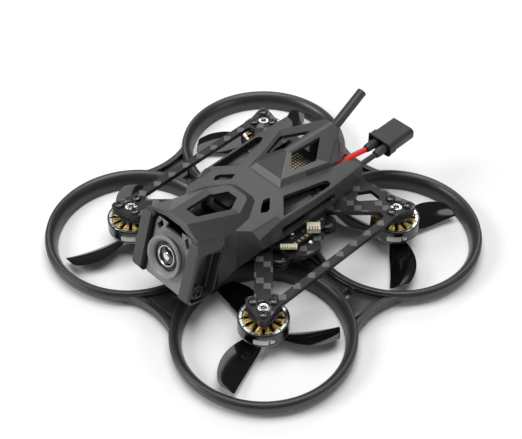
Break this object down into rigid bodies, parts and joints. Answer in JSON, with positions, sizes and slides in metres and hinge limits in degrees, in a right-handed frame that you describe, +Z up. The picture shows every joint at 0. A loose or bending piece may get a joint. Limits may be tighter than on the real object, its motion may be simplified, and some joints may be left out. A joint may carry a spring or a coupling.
{
  "type": "ducted racing quadcopter",
  "caption": "Ducted racing quadcopter with shrouded pusher rotors under a carbon plate, a ribbed canopy and a tilting nose camera.",
  "frame": {"origin": "on the ground, midway between the four motor axes", "axes": "+Z up, -Y towards the camera at the nose, +X to the craft's left"},
  "size_m": [0.1118, 0.1118, 0.0366],
  "materials": {
    "moulded_frame": "fine-grained dark grey nylon",
    "canopy_plastic": "fine-grained dark grey nylon",
    "carbon_fibre": "satin twill carbon laminate",
    "damper_rubber": "matte black",
    "motor_aluminium": "machined",
    "motor_bell_metal": "machined, grey anodised",
    "copper_winding": "enamelled wire",
    "dark_steel": "blackened, polished by the driver",
    "propeller_plastic": "glossy black polycarbonate",
    "camera_plastic": "satin grey",
    "lens_glass": "coated lens",
    "circuit_board": "black solder mask",
    "gold_shield": "plated, perforated",
    "connector_cream": "moulded nylon",
    "antenna_plastic": "satin black tube",
    "lead_red": "silicone",
    "lead_black": "silicone",
    "plug_plastic": "fine-grained nylon"
  },
  "bodies": {
    "airframe": {"duct_front_left": "moulded_frame", "duct_front_right": "moulded_frame", "duct_rear_left": "moulded_frame", "duct_rear_right": "moulded_frame", "duct_web": "moulded_frame", "vibration_damper_front_left": "damper_rubber", "vibration_damper_front_right": "damper_rubber", "vibration_damper_rear_left": "damper_rubber", "vibration_damper_rear_right": "damper_rubber", "battery_pad": "damper_rubber", "carbon_plate": "carbon_fibre", "motor_base_front_left": "motor_aluminium", "motor_stator_front_left": "copper_winding", "motor_screw_front_left_1": "dark_steel", "motor_screw_front_left_2": "dark_steel", "motor_screw_front_left_3": "dark_steel", "motor_base_front_right": "motor_aluminium", "motor_stator_front_right": "copper_winding", "motor_screw_front_right_1": "dark_steel", "motor_screw_front_right_2": "dark_steel", "motor_screw_front_right_3": "dark_steel", "motor_base_rear_left": "motor_aluminium", "motor_stator_rear_left": "copper_winding", "motor_screw_rear_left_1": "dark_steel", "motor_screw_rear_left_2": "dark_steel", "motor_screw_rear_left_3": "dark_steel", "motor_base_rear_right": "motor_aluminium", "motor_stator_rear_right": "copper_winding", "motor_screw_rear_right_1": "dark_steel", "motor_screw_rear_right_2": "dark_steel", "motor_screw_rear_right_3": "dark_steel", "canopy": "canopy_plastic", "flight_controller": "circuit_board", "video_board": "gold_shield", "receiver_connector": "connector_cream", "light_connector": "connector_cream", "antenna_tube": "antenna_plastic", "battery_lead_red": "lead_red", "battery_lead_black": "lead_black", "battery_plug": "plug_plastic"},
    "rotor_front_left": {"motor_bell_front_left": "motor_bell_metal", "motor_shaft_front_left": "dark_steel", "propeller_front_left": "propeller_plastic"},
    "rotor_front_right": {"motor_bell_front_right": "motor_bell_metal", "motor_shaft_front_right": "dark_steel", "propeller_front_right": "propeller_plastic"},
    "rotor_rear_left": {"motor_bell_rear_left": "motor_bell_metal", "motor_shaft_rear_left": "dark_steel", "propeller_rear_left": "propeller_plastic"},
    "rotor_rear_right": {"motor_bell_rear_right": "motor_bell_metal", "motor_shaft_rear_right": "dark_steel", "propeller_rear_right": "propeller_plastic"},
    "camera": {"camera_bezel": "camera_plastic", "camera_body": "camera_plastic", "camera_lens_barrel": "camera_plastic", "camera_lens_glass": "lens_glass", "camera_pivot_screw_left": "dark_steel", "camera_pivot_screw_right": "dark_steel"},
    "boot_button": {"boot_button": "motor_aluminium"}
  },
  "joints": [
    {"name": "rotor_spin_front_left", "type": "hinge", "parent": "airframe", "child": "rotor_front_left", "pos_m": [0.02857, -0.02857, 0.0085], "axis": [0, 0, 1], "continuous": true},
    {"name": "rotor_spin_front_right", "type": "hinge", "parent": "airframe", "child": "rotor_front_right", "pos_m": [-0.02857, -0.02857, 0.0085], "axis": [0, 0, 1], "continuous": true},
    {"name": "rotor_spin_rear_left", "type": "hinge", "parent": "airframe", "child": "rotor_rear_left", "pos_m": [0.02857, 0.02857, 0.0085], "axis": [0, 0, 1], "continuous": true},
    {"name": "rotor_spin_rear_right", "type": "hinge", "parent": "airframe", "child": "rotor_rear_right", "pos_m": [-0.02857, 0.02857, 0.0085], "axis": [0, 0, 1], "continuous": true},
    {"name": "camera_tilt", "type": "hinge", "parent": "airframe", "child": "camera", "pos_m": [0, -0.0382, 0.0151], "axis": [1, 0, 0], "range_deg": [-5, 12]},
    {"name": "boot_button_press", "type": "slide", "parent": "airframe", "child": "boot_button", "axis": [0, 0, -1], "range_m": [0, 0.00025], "stiffness_N_per_m": 800}
  ]
}
